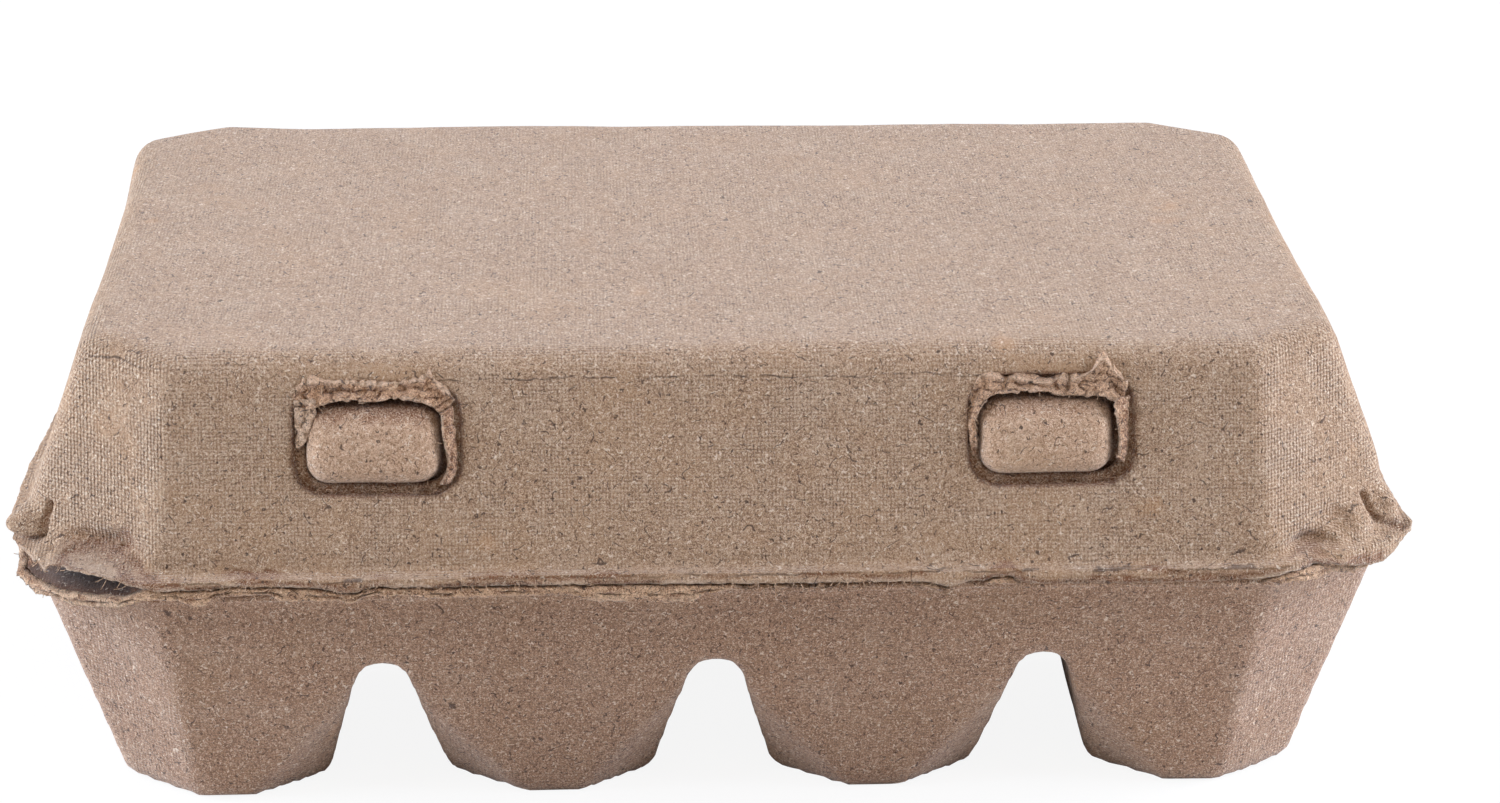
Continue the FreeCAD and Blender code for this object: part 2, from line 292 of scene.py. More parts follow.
# Moulded pulp: waste paper sucked wet onto a wire form and dried. It is dull and felted, with loose
# dark and pale fibres, flecks, a faint print of the wire, and slow drifts where it dried unevenly.
def mouldedPulp(name, look):
    material = bpy.data.materials.new(name)
    material.use_nodes = True
    tree = material.node_tree
    tree.nodes.clear()
    coords = addNode(tree, "TexCoord")
    place = coords.outputs["Object"]

    def unevenness(size, detail, shift, swirl=0.0):
        # soft blots of one size in mm, drawn out into strokes by the swirl
        moved = addNode(tree, "VectorMath", (place, (shift, shift, shift)), "ADD")
        return addNode(tree, "TexNoise", {"Vector": moved, "Scale": 1 / (size * mm), "Detail": detail,
                                          "Roughness": 0.6, "Distortion": swirl})

    def overlap(*parts):
        # shows where all of the parts do
        whole = parts[0]
        for part in parts[1:]:
            whole = addNode(tree, "Math", (whole, part), "MULTIPLY")
        return whole

    def scattered(where, spacing, shift, share):
        # cells of space with one fibre or fleck in each, and which of them are filled
        spread = addNode(tree, "VectorMath", (where, (1 / (spacing * mm),) * 3, (shift * 977,) * 3),
                         "MULTIPLY_ADD")
        cells = addNode(tree, "TexVoronoi", {"Vector": spread, "Scale": 1.0})
        draw = addNode(tree, "TexWhiteNoise", {"Vector": cells.outputs["Position"]})
        filled = addNode(tree, "Math", (draw.outputs["Value"], share), "LESS_THAN")
        return spread, cells, filled

    def fibres(spacing, length, width, shift, share, strength):
        # each cell holds one thin curled sheet, and the surface cuts it in a short line
        curl = addNode(tree, "VectorMath", (unevenness(length * 0.8, 0, shift).outputs["Color"],
                                            (0.5, 0.5, 0.5)), "SUBTRACT")
        curled = addNode(tree, "VectorMath", (curl, (length * 1.1 * mm,) * 3, place), "MULTIPLY_ADD")
        spread, cells, filled = scattered(curled, spacing, shift, share)
        away = addNode(tree, "VectorMath", (spread, cells.outputs["Position"]), "SUBTRACT")
        tilt = addNode(tree, "VectorMath", (cells.outputs["Color"], (0.5, 0.5, 0.5)), "SUBTRACT")
        facing = addNode(tree, "VectorMath", (tilt,), "NORMALIZE")
        across = addNode(tree, "VectorMath", (away, facing), "DOT_PRODUCT")
        thin = addNode(tree, "Math", (across.outputs["Value"],), "ABSOLUTE")
        line = addNode(tree, "MapRange", (thin, width / spacing * 0.35, width / spacing * 0.75,
                                          strength, 0.0))
        reach = addNode(tree, "VectorMath", (away,), "LENGTH")
        short = addNode(tree, "MapRange", (reach.outputs["Value"], length / spacing * 0.38,
                                           length / spacing * 0.5, 1.0, 0.0))
        flat = addNode(tree, "VectorMath", (coords.outputs["Normal"], facing), "DOT_PRODUCT")
        flat = addNode(tree, "Math", (flat.outputs["Value"],), "ABSOLUTE")
        upright = addNode(tree, "Math", (flat, 0.72), "LESS_THAN")
        return overlap(line, short, upright, filled)

    def flecks(spacing, size, shift, share, strength):
        cells, filled = scattered(place, spacing, shift, share)[1:]
        dot = addNode(tree, "MapRange", (cells.outputs["Distance"], size / spacing * 0.7,
                                         size / spacing * 1.2, strength, 0.0))
        return overlap(dot, filled)

    def wirePrint(pitch):
        # rows of dots along the carton's own directions, each left out where the wall faces that way
        way = addNode(tree, "SeparateXYZ", (coords.outputs["Normal"],))
        bent = addNode(tree, "VectorMath", (unevenness(1.4, 1, 0.066).outputs["Color"],
                                            (0.35 * mm,) * 3, place), "MULTIPLY_ADD")
        spot = addNode(tree, "SeparateXYZ", (bent,))
        rows = 0.0
        for axis in range(3):
            wave = addNode(tree, "Math", (spot.outputs[axis], 2 * math.pi / (pitch * mm)), "MULTIPLY")
            row = addNode(tree, "Math", (wave,), "SINE")
            facing = addNode(tree, "Math", (way.outputs[axis],), "ABSOLUTE")
            kept = addNode(tree, "MapRange", (facing, 0.55, 0.95, 1.0, 0.0))
            rows = addNode(tree, "Math", (row, kept, rows), "MULTIPLY_ADD")
        # it is deeper on the slanted corners, where the wire was bent round, and most of all on the left
        aside = addNode(tree, "Math", (way.outputs[0],), "ABSOLUTE")
        depth = addNode(tree, "MapRange", (spot.outputs[0], -mm, mm, 2.1, 1.7))
        turning = addNode(tree, "MapRange", (aside, 0.25, 0.45, 1.0, depth))
        turned = addNode(tree, "MapRange", (aside, 0.80, 0.90, 1.0, 0.6))
        patchy = addNode(tree, "MapRange", (unevenness(7.0, 2, 0.077), 0.38, 0.58, 0.15, 1.0))
        return overlap(rows, turning, turned, patchy)

    finishAndShade = addNode(tree, "Attribute", attribute_name="finishAndShade")
    torn, brown, tanned = addNode(tree, "SeparateColor", (finishAndShade.outputs["Color"],)).outputs
    fine = unevenness(look["grain"], 1.0, 0.013, 1.3)
    strokes = unevenness(look["grain"] * 1.8, 1.0, 0.019, 2.6)
    grain = addNode(tree, "Mix", {0: 0.45, 2: fine, 3: strokes})
    felt = unevenness(look["felt"], 2, 0.029)
    clouds = unevenness(look["clouds"], 3, 0.051)
    drifts = unevenness(look["clouds"] * 0.6, 2, 0.083)
    rust = unevenness(9.0, 1, 0.097)
    wire = wirePrint(look["wire"])
    darkLong = fibres(*look["fibre"], shift=0.011, share=0.60, strength=0.80)
    darkShort = fibres(*look["shortFibre"], shift=0.023, share=0.65, strength=0.85)
    paleShort = fibres(*look["shortFibre"], shift=0.037, share=0.50, strength=0.60)
    darkFlecks = flecks(look["fleck"], size=0.085, shift=0.041, share=0.22, strength=0.90)
    paleFlecks = flecks(look["fleck"] * 1.2, size=0.08, shift=0.059, share=0.12, strength=0.95)

    # broken hairlines that waver along the front wall: painted shade in thin cracks
    crease = 0.0
    spot = addNode(tree, "SeparateXYZ", (place,))
    for height, wavering, centre, reach in look["creases"]:
        level = addNode(tree, "Math", (unevenness(5.0, 3, height * mm), wavering * mm,
                                       (height - wavering / 2) * mm), "MULTIPLY_ADD")
        apart = addNode(tree, "Math", (spot.outputs[2], level), "SUBTRACT")
        apart = addNode(tree, "Math", (apart,), "ABSOLUTE")
        line = addNode(tree, "MapRange", (apart, 0.06 * mm, 0.16 * mm, 0.8, 0.0))
        front = addNode(tree, "Math", (spot.outputs[1], -36 * mm), "LESS_THAN")
        aside = addNode(tree, "Math", (spot.outputs[0], centre * mm), "SUBTRACT")
        aside = addNode(tree, "Math", (aside,), "ABSOLUTE")
        middle = addNode(tree, "MapRange", (aside, (reach - 6) * mm, (reach + 6) * mm, 1.0, 0.0))
        broken = addNode(tree, "MapRange", (unevenness(3.5, 2, height * mm * 2), 0.42, 0.56))
        line = overlap(line, front, middle, broken)
        crease = addNode(tree, "Math", (line, crease), "MAXIMUM")

    # the brown paint, mostly painted shade with some real wear, follows the fibres, so it shows in streaks
    streaks = addNode(tree, "MapRange", (strokes, 0.40, 0.60, 1.5, 0.20))
    brownAndShade = addNode(tree, "Math", (brown, streaks), "MULTIPLY", use_clamp=True)
    tufts = addNode(tree, "MapRange", (strokes, 0.38, 0.60, 0.35, 1.2))
    frayed = addNode(tree, "Math", (torn, tufts), "MULTIPLY", use_clamp=True)

    # each layer: what it follows, over which values it comes in, how much of it, and its colour
    layers = (
        (grain, (0.36, 0.56), 1.0, "body"),
        (clouds, (0.48, 0.68), 0.25, "warm"),
        (drifts, (0.52, 0.70), 0.06, "pale"),
        (felt, (0.55, 0.75), 0.12, "pale"),
        (felt, (0.47, 0.30), 0.22, "shade"),
        (wire, (0.2, 1.6), look["wireDepth"] * 6, "pale"),
        (wire, (-0.2, -1.6), look["wireDepth"] * 9, "shade"),
        (grain, (0.54, 0.68), 0.72, "pale"),
        (rust, (0.70, 0.80), 0.30, "stain"),
        (crease, None, 1.0, "dark"),
        (tanned, None, 1.0, "warm"),
        (frayed, None, 1.0, "torn"),
        (brownAndShade, None, 1.0, "brown"),
        # where the brown paint is full it turns near black: painted shade inside the gaping corner
        (brown, (0.92, 1.0), 0.8, "dark"),
        (paleShort, None, 1.0, "pale"),
        (darkLong, None, 1.0, "dark"),
        (darkShort, None, 1.0, "dark"),
        (darkFlecks, None, 1.0, "dark"),
        (paleFlecks, None, 1.0, "pale"),
    )
    colour = fromHex(look["shade"])
    for amount, span, most, pigment in layers:
        if span:
            amount = addNode(tree, "MapRange", (amount, span[0], span[1], 0.0, most),
                             interpolation_type="SMOOTHSTEP")
        colour = addNode(tree, "Mix", {0: amount, 6: colour, 7: fromHex(look[pigment])},
                         data_type="RGBA").outputs[2]

    # torn places stand up in tufts
    tufted = addNode(tree, "MapRange", {0: torn, 3: 1.0, 4: 2.6})
    height = 0.0
    for value, depth in ((overlap(grain, tufted), look["grainDepth"]), (felt, 0.16),
                         (wire, look["wireDepth"]), (paleShort, 0.06), (darkLong, 0.05)):
        height = addNode(tree, "Math", (value, depth, height), "MULTIPLY_ADD")
    bump = addNode(tree, "Bump", {"Strength": 1.0, "Distance": mm, "Height": height})
    surface = addNode(tree, "BsdfPrincipled", {
        "Base Color": colour, "Normal": bump, "Roughness": look["roughness"], "IOR": 1.5,
        "Specular IOR Level": 0.25, "Sheen Weight": 0.22, "Sheen Roughness": 0.5})
    addNode(tree, "OutputMaterial", (surface,))
    return material


lidPulp = mouldedPulp("screenMarkedPulp", lidPulpLook)       # lay on the wire, so its weave shows
trayPulp = mouldedPulp("smoothFormedPulp", trayPulpLook)     # darker, with hardly any weave
flapPulp = mouldedPulp("pressedPulp", flapPulpLook)          # pressed smooth and pale
tornPulp = mouldedPulp("tornPulp", tornPulpLook)             # layers pulled apart: pale, warm and fluffy
rimPulp = mouldedPulp("tornRimPulp", tornRimLook)            # the same, paler along the rim


# How the rim has torn and sagged, in mm. Along the front, the crack under the lid and the bottom of
# the tray's torn edge are lines of (x, z).
rimPlan = {
    "partingFront": ((-100, 40.3), (-97.6, 40.2), (-96.3, 40.3), (-94.6, 41.4), (-93.5, 41.1),
                     (-92.6, 40.6), (-91.7, 42), (-88.2, 42.4), (-84.7, 42.6), (-81.8, 42.2),
                     (-79.7, 41.6), (-77, 40.9), (-75, 40.8), (-71, 40.7), (-67, 41.2),
                     (-60, 41), (-55, 40.7),
                     (-51, 39.8), (-47, 40.7), (-33, 40.5), (-20, 40.4), (2, 40.2), (20, 40.1), (28, 40),
                     (32.5, 39.2), (36, 40), (40.5, 40.7), (44, 39.4), (60, 39.4), (74, 39.7), (80, 40.5),
                     (82.8, 40.7), (86.2, 40.2), (88, 39.5), (91, 38.5), (93, 38), (95, 37.7),
                     (97.1, 38.2), (98.7, 39.1), (99.8, 39.8)),
    "tornFront": ((-100, 38.9), (-96.7, 38.6), (-94, 38.3), (-91.5, 38.6), (-88.2, 37.8), (-85.2, 38.1),
                  (-82.3, 38), (-80.5, 38.6), (-77.5, 39.4), (-74, 39.1), (-72, 38.3), (-70.5, 38.4),
                  (-69, 39.8), (-62, 39.9), (-60, 38.9), (-53, 38.8), (-51, 38.3), (-48.5, 39.4),
                  (-42, 39.4), (-40, 38.9), (-21, 38.9), (-16.5, 37.8), (-11, 37.6), (-10.3, 38.2),
                  (-9.6, 37.5), (-4, 37.5), (-1.5, 38.7), (2, 39.4), (18, 39.5), (26, 39.6), (32, 38.5),
                  (36, 39.6), (44, 39.4), (76, 39.4), (79, 38.8), (86, 38), (91, 36.6), (93, 36.4),
                  (95, 37.4), (100, 38.9)),
    "tornElsewhere": 38.5,
    # at the left corner the torn edge has come away from the lid, and has sunk with the tray's rim
    "tornTop": ((-82, 39.6), (-76, 41.5)),
    "sag": ((-97.5, 3), (-92, 2.2), (-87, 1.5), (-83, 0.8), (-79, 0)),
    "frontFades": (-46, -28),  # y over which the front's own shapes die out
    "lipFlare": 0.95,         # how far the lid's lip curls out
    "lipHeight": 3.2,         # over this height
    "cornerSwell": 1.6,       # corners bow out between their ends
    "gap": 0.22,              # crack between the two torn edges
}


def frontShare(point):
    # 1 along the front and its corners, 0 further back
    return 1 - eased(point.y, *rimPlan["frontFades"])


def parting(point):
    # height of the crack between lid and tray
    plain = rimHeight + ragged(point.x + point.y * 1.3, 4, 0.25, 2)
    front = along(rimPlan["partingFront"], point.x) + ragged(point.x, 2.4, 0.22, 1)
    front += ragged(point.x, 0.9, 0.12, 6)
    return plain + (front - plain) * frontShare(point)


def tornBottom(point):
    # how far down the tray's torn edge hangs
    plain = rimPlan["tornElsewhere"] + ragged(point.x + point.y * 1.3, 5, 0.7, 4)
    front = along(rimPlan["tornFront"], point.x) + ragged(point.x, 1.6, 0.28, 3)
    return plain + (front - plain) * frontShare(point)


def pushed(point, pushes):
    for centre, reach, move in pushes:
        share = near(point, centre, reach)
        if share:
            point = point + Vector(move) * share
    return point


# Lid: knocks and folds as (middle, reach, move), creases, which also get painted shade, as points (x, z)
# with width and depth, and dents with painted shade in them as (middle, reach, how much)
lidPlan = {
    "grain": 0.5,             # size of the mesh
    "smoothing": 2,
    "share": 0.29,            # of the plain places' faces that stay
    "pushes": (
        ((-98.6, -46.4, 44.4), (5.5, 7, 3.2), (-3.7, -1.5, 0.3)),# left knuckle
        ((-101, -46, 39.3), (11, 12, 4.2), (3, 1.3, 0)),        # tucked in under it
        ((-86.5, -55, 44.5), (9.5, 7, 2.2), (1.1, 2.3, -0.3)),  # dent over the lip
        ((98, -46.8, 43), (5, 6, 3), (1.5, -0.9, 0.2)),         # right knuckle
        ((98, -46.3, 45.3), (4.5, 6, 2.2), (1.2, -0.7, 0.2)),
        ((100.5, -47, 38.8), (7, 7, 3), (-0.3, 0.3, 0)),        # rounded loop of the lip
        ((101, -28, 45), (10, 32, 9), (-1.7, 0, 0)),            # side draws in behind the knuckle
        ((84, -56, 42.2), (5.5, 5.5, 2.6), (-0.9, 2.5, 0)),     # dents in the corner
        ((88, -53.4, 44.8), (5, 5, 2.2), (-0.7, 1.6, 0)),
        ((92, -51, 43.4), (3.6, 5, 2.4), (0.5, -0.8, 0)),
        ((-101, 30, 40.5), (12, 62, 7), (3, -0.5, 0)),          # left side draws in towards the back
        ((98, 46.5, 44.5), (5.5, 6, 4.2), (2, 1.2, 0)),
        ((90, 52, 44), (9, 7, 3.4), (-0.5, -1, 0)),
        ((-83, 40, 69), (22, 20, 14), (-1.2, 1.6, 0.3)),
    ),
    "creases": (
        (((-93.2, 47.4), (-93.8, 45.4), (-94.2, 43.4)), 0.32, 1.3),
        (((-102, 42.7), (-98.2, 42.3), (-96, 42.3), (-94.4, 43.1)), 0.34, 1.5),
        (((-92.4, 41.9), (-89.9, 42.9), (-86.1, 43.4), (-82.9, 43.6), (-79.7, 43)), 0.34, 0.7),
        (((-81.7, 46.8), (-81.3, 44.2)), 0.32, 0.5),
        (((92.4, 46.2), (93.4, 44.4), (94, 43.2), (95.2, 42.3)), 0.32, 1.2),
        (((95.6, 42.2), (97.2, 41.5), (98.4, 41.1), (99.3, 41)), 0.34, 0.9),
        (((60, 41.4), (66, 40.8), (74, 40)), 0.30, 0.5),
        (((-66, 41.9), (-58, 41.5), (-50, 40.9)), 0.28, 0.4),
    ),
    "dents": (
        ((-86.5, -54, 44.2), (9.5, 8, 2.3), 0.70),
        ((84, -56, 42.2), (4.8, 6, 2.4), 0.55),
        ((88, -53.4, 44.8), (4.2, 6, 1.8), 0.45),
        ((-97, -48, 42.2), (3.5, 4, 1.6), 0.30),
        ((97.5, -48, 42), (3, 4, 1.8), 0.35),
    ),
    "cornerTop": 50.5,        # below this the front's corners are knocked and creased
    "splits": (0.5, 1.15),    # how high over the crack the lip has split
    "splitDepth": 0.32,
    "ledge": (((-95, 0), (-92, 1), (-84, 1), (-72, 0)), 1.5, 1.3),   # rolled lip: where, how far, how high
    # windows: where they are on the wall, their sunk frames and openings by half size and corner
    "windows": (-46.8, 46.8),
    "windowRise": 20.64,
    "windowBand": (10, 31),
    "recess": ((11.6, 7.9), 4.7),
    "opening": ((10.1, 6.4), 3.4),
    "closeUp": (0.42, 0.55),  # least and most that an opening has closed round its button
}


def frameEdge(u, s, middle, outline):
    # distance outside a round-cornered frame about a window's middle, and the way out of it
    half, corner = outline
    aside, above = u - middle, s - lidPlan["windowRise"]
    a, b = abs(aside) - half[0] + corner, abs(above) - half[1] + corner
    way = Vector((max(a, 0), max(b, 0))) if max(a, b) > 0 else Vector((a > b, a <= b))
    way = Vector((way.x * math.copysign(1, aside), way.y * math.copysign(1, above)))
    return math.hypot(max(a, 0), max(b, 0)) + min(max(a, b), 0) - corner, way.normalized()


def byWindow(s, n, inner, outer):
    # whether a place on the wall is level with the windows, and no further in or out than this
    low, high = lidPlan["windowBand"]
    return low < s < high and inner < n < outer


def creaseDepth(point):
    # how deep the deepest crease is here, and how much of its full depth that is
    deepest = (0, 0)
    if point.z < lidPlan["cornerTop"] and frontShare(point):
        spot = Vector((point.x, point.z))
        for line, width, depth in lidPlan["creases"]:
            if line[0][0] - 3 < spot.x < line[-1][0] + 3 or line[-1][0] - 3 < spot.x < line[0][0] + 3:
                for a, b in zip(line, line[1:]):
                    a, b = Vector(a), Vector(b)
                    t = min(max((spot - a).dot(b - a) / (b - a).length_squared, 0), 1)
                    away = (spot - a.lerp(b, t)).length + 0.12 * noise(point * 1.6)
                    share = math.exp(-(away / width) ** 2) * frontShare(point)
                    deepest = max(deepest, (share * depth, share))
    return deepest


def lipSplit(point):
    # broken lines along the lip where it has split and folded, 1 in the middle of one
    deepest = 0
    for seed, level in enumerate(lidPlan["splits"], 1):
        level += parting(point) + ragged(point.x, 9, 0.4, seed)
        share = eased(noise(Vector((point.x / 11, point.y / 11, seed))), -0.15, 0.05)
        deepest = max(deepest, share * math.exp(-((point.z - level) / 0.22) ** 2))
    return deepest


def lidForm(point):
    if point.z < 48:
        outwards = rimSide(point)[1]
        low = 1 - eased(point.z, rimHeight, rimHeight + rimPlan["lipHeight"])
        swell = rimPlan["cornerSwell"] * cornerShare(point) * (1 - eased(point.z, 40.5, 47))
        point = point + outwards * (rimPlan["lipFlare"] * low + swell)
        line = parting(point)
        point.z += (line - rimHeight) * low
        where, reach, height = lidPlan["ledge"]
        rolled = along(where, point.x) * frontShare(point)
        rolled *= 1 - eased(point.z - line, height - 0.25, height + 0.25)
        point = point + outwards * reach * rolled
        point = point - outwards * lidPlan["splitDepth"] * lipSplit(point)
        fuzz = 0.22 * noise(point * 0.75) + 0.14 * noise(point * 1.9)
        point = point + outwards * (1 - eased(point.z, 40.5, 43.5)) * fuzz
    point = pushed(point, lidPlan["pushes"])
    depth = creaseDepth(point)[0]
    if depth:
        point = point - rimSide(point)[1] * depth
    u, s, n = wallPlace(point)
    if byWindow(s, n, -3.2, 0.6):
        for middle in lidPlan["windows"]:
            away, way = frameEdge(u, s, middle, lidPlan["recess"])
            if away < 0.2 and n < -0.35:
                # the sunk frame slopes in, with a groove around it
                groove = math.exp(-((away + 0.30) / 0.32) ** 2)
                deep = 0.25 * eased(-away, 0.2, 1.6) + 0.60 * groove + 0.25 * noise(point * 0.9)
                point = point - outWall * deep
            away, way = frameEdge(u, s, middle, lidPlan["opening"])
            reach = 1.6
            if n < 0 and -0.4 < away < reach:
                # and it closes up round the button, most on the right
                least, most = lidPlan["closeUp"]
                inwards = least + (most - least) * eased(way.x + way.y * 0.5, -0.5, 0.8)
                inwards *= 1 - away / reach
                inwards += 0.12 * noise(point * 1.7)
                point = point - (Vector((1, 0, 0)) * way.x + upWall * way.y) * inwards
    return point


def lidWearAndShade(point):
    # the lip's torn edge is pale with fibres, and the paler line along its very bottom is also a painted
    # highlight
    torn = 1 - eased(point.z, parting(point) + 0.2, parting(point) + 0.9) if point.z < 43 else 0
    torn *= 0.60 + 0.9 * noise(point * 0.5)
    # painted shade in the creases and dents
    brown = 0.85 * creaseDepth(point)[1]
    for middle, reach, amount in lidPlan["dents"]:
        brown = max(brown, amount * near(point, middle, reach))
    u, s, n = wallPlace(point)
    # painted shade round each sunk frame: a dark line in its groove and a band darker towards its bottom,
    # under the button, mixed with the frame's own brown fuzz
    if byWindow(s, n, -3, 0.4):
        for middle in lidPlan["windows"]:
            edge = frameEdge(u, s, middle, lidPlan["recess"])[0]
            if edge < 1.0:
                uneven = 0.8 + 0.9 * noise(Vector((u * 1.6, s * 0.7, 3)))
                outline = 0.9 * math.exp(-((edge + 0.1) / 0.30) ** 2)
                low = 0.25 * eased(lidPlan["windowRise"] - s, 3, 7)
                brown = min((outline + (0.34 + low) * eased(-n, 0.3, 0.8)) * uneven, 0.9)
    where, reach, height = lidPlan["ledge"]
    if point.z < 46:
        rolled = 1 - eased(point.z - parting(point), height - 0.2, height + 0.3)
        torn = max(torn, 0.4 * along(where, point.x) * frontShare(point) * rolled)
        # painted shadow along the lip's split lines
        brown = max(brown, lipSplit(point))
    tan = 0.3 * (1 - eased(point.z, parting(point) + 0.8, parting(point) + 3.4)) if point.z < 45 else 0
    if outWall.dot(point - wallFoot) > -0.6:
        # and over the windows
        for middle in lidPlan["windows"]:
            tan = max(tan, 0.5 * near(point, onWall(middle, 29, 0), (15, 6, 5)))
    tan *= 0.8 + 0.8 * noise(point * 0.35)
    return min(max(torn, 0), 1), min(max(brown, 0), 0.9), min(max(tan, 0), 1)


def lidFine(point):
    # the lip, the front corners and the windows keep all their faces
    if point.z < 44 or (point.z < lidPlan["cornerTop"] and abs(point.x) > 88 and point.y < -40):
        return True
    u, s, n = wallPlace(point)
    edges = [frameEdge(u, s, middle, lidPlan["recess"])[0] for middle in lidPlan["windows"]]
    return -3.4 < n < 1 and min(edges) < 1.5


def isGapingInside(point):
    # the lid's inner face behind the gaping corner
    inwards = rimSide(point)[0] + (point.z - rimHeight) * math.tan(wallLean)
    return point.x < -74 and point.y < -34 and point.z < 43.5 and inwards < -1.5


lidShell = remeshed("lid", "lidShell", lidPlan["grain"], lidPlan["smoothing"])
thinned(lidShell, lidPlan["share"], lidFine)
darkInside = [v.index for v in lidShell.data.vertices if isGapingInside(v.co / mm)]
reshaped(lidShell, lidForm)
painted(lidShell, lidWearAndShade)
for index in darkInside:
    # it is painted in full shade there, and is drawn in so that its edge doesn't show
    lidShell.data.attributes["finishAndShade"].data[index].color = (0, 1, 0, 1)
    vertex = lidShell.data.vertices[index]
    vertex.co -= rimSide(vertex.co / mm)[1] * 0.8 * mm
print("lid shaped")


# Tray
trayPlan = {
    "grain": 1.2,
    "smoothing": 3,
    "pushes": (
        ((-101, -46, 38.5), (12, 13, 5.5), (2.8, 1.4, 0)),          # left corner draws in
        ((-101, 30, 38.5), (12, 62, 6), (3, -0.5, 0)),
        ((101, -28, 38.5), (9, 32, 6), (-1.4, 0, 0)),
        ((93, -51.5, 39), (17, 13, 5), (-1.6, 2.4, -0.2)),
    ),
}


def trayForm(point):
    if point.z > 32:
        outwards = rimSide(point)[1]
        high = eased(point.z, 33, 38.5)
        point = point + outwards * (rimPlan["cornerSwell"] * cornerShare(point) * high)
        if point.x < 0:
            point.z -= along(rimPlan["sag"], point.x) * frontShare(point) * high
    return pushed(point, trayPlan["pushes"])


def trayPaintedShade(point):
    # painted shade: the land is darkened where the corner gapes
    gaping = frontShare(point) * (1 - eased(point.x, -82, -74)) * eased(point.z, 34.6, 35.6)
    return 0, gaping, 0


trayShell = remeshed("tray", "trayShell", trayPlan["grain"], trayPlan["smoothing"])
reshaped(trayShell, trayForm)
painted(trayShell, trayPaintedShade)
print("tray shaped")


# Locking flap: its buttons sit a little low and to the left in their windows
flapPlan = {
    "grain": 0.5,
    "smoothing": 7,
    "buttons": ((-46.8, -0.55), (46.8, -0.75)),       # middle, and how far it has shifted
    "halfSize": (9.4, 5.7),
    "narrow": 0.98,
    "low": 0.95,
    "drop": -0.75,
    "crown": 0.95,
    "wrinkle": 0.20,
    "lean": 1.8,              # how far a button's top runs back under the torn paper
    "crease": (-49.2, 16.9, 2.6, 0.28),               # low on the left button: middle, half length, depth
}


def flapForm(point):
    u, s, n = wallPlace(point)
    loose = eased(n, -4.4, -1.5)
    for middle, shift in flapPlan["buttons"]:
        if abs(u - middle) < 12 and loose:
            a, b = u - middle, s - lidPlan["windowRise"]
            wide, tall = flapPlan["halfSize"]
            crown = max(0, 1 - (a / wide) ** 2) * max(0, 1 - (b / tall) ** 2)
            lift = flapPlan["crown"] * crown * loose
            wrinkle = abs(noise(Vector((u * 0.5, s * 0.8, 4)))) * eased(n, -0.2, 0.6)
            lift -= flapPlan["wrinkle"] * 2 * wrinkle
            lift -= flapPlan["lean"] * eased(b, 0.5, 5.6) * loose
            u += loose * (shift - a * (1 - flapPlan["narrow"]))
            s += loose * (flapPlan["drop"] * (1 - eased(b, -1, 5)) - min(b, 0) * (1 - flapPlan["low"]))
            foldU, foldS, half, depth = flapPlan["crease"]
            if abs(u - foldU) < half:
                bow = s - foldS - 0.05 * (u - foldU) ** 2
                lift -= depth * math.exp(-(bow / 0.35) ** 2) * (1 - ((u - foldU) / half) ** 2)
            return onWall(u, s, n + lift)
    return point


lockingFlap = remeshed("locking_flap", "lockingFlap", flapPlan["grain"], flapPlan["smoothing"])
reshaped(lockingFlap, flapForm)


def flapPaintedShade(point):
    # painted shade: darker down its sides, and at the top where it runs back under the torn paper
    u, s, n = wallPlace(point)
    brownAndShade = 0.75 if u < 0 else 0.4
    reach = 24.6 + 1.2 * noise(Vector((u * 0.35, 0, 3)))
    return 0, max(0.6 * (1 - eased(n, -1.4, 0.3)), brownAndShade * eased(s, reach - 2.6, reach)), 0


painted(lockingFlap, flapPaintedShade)
print("flap shaped")


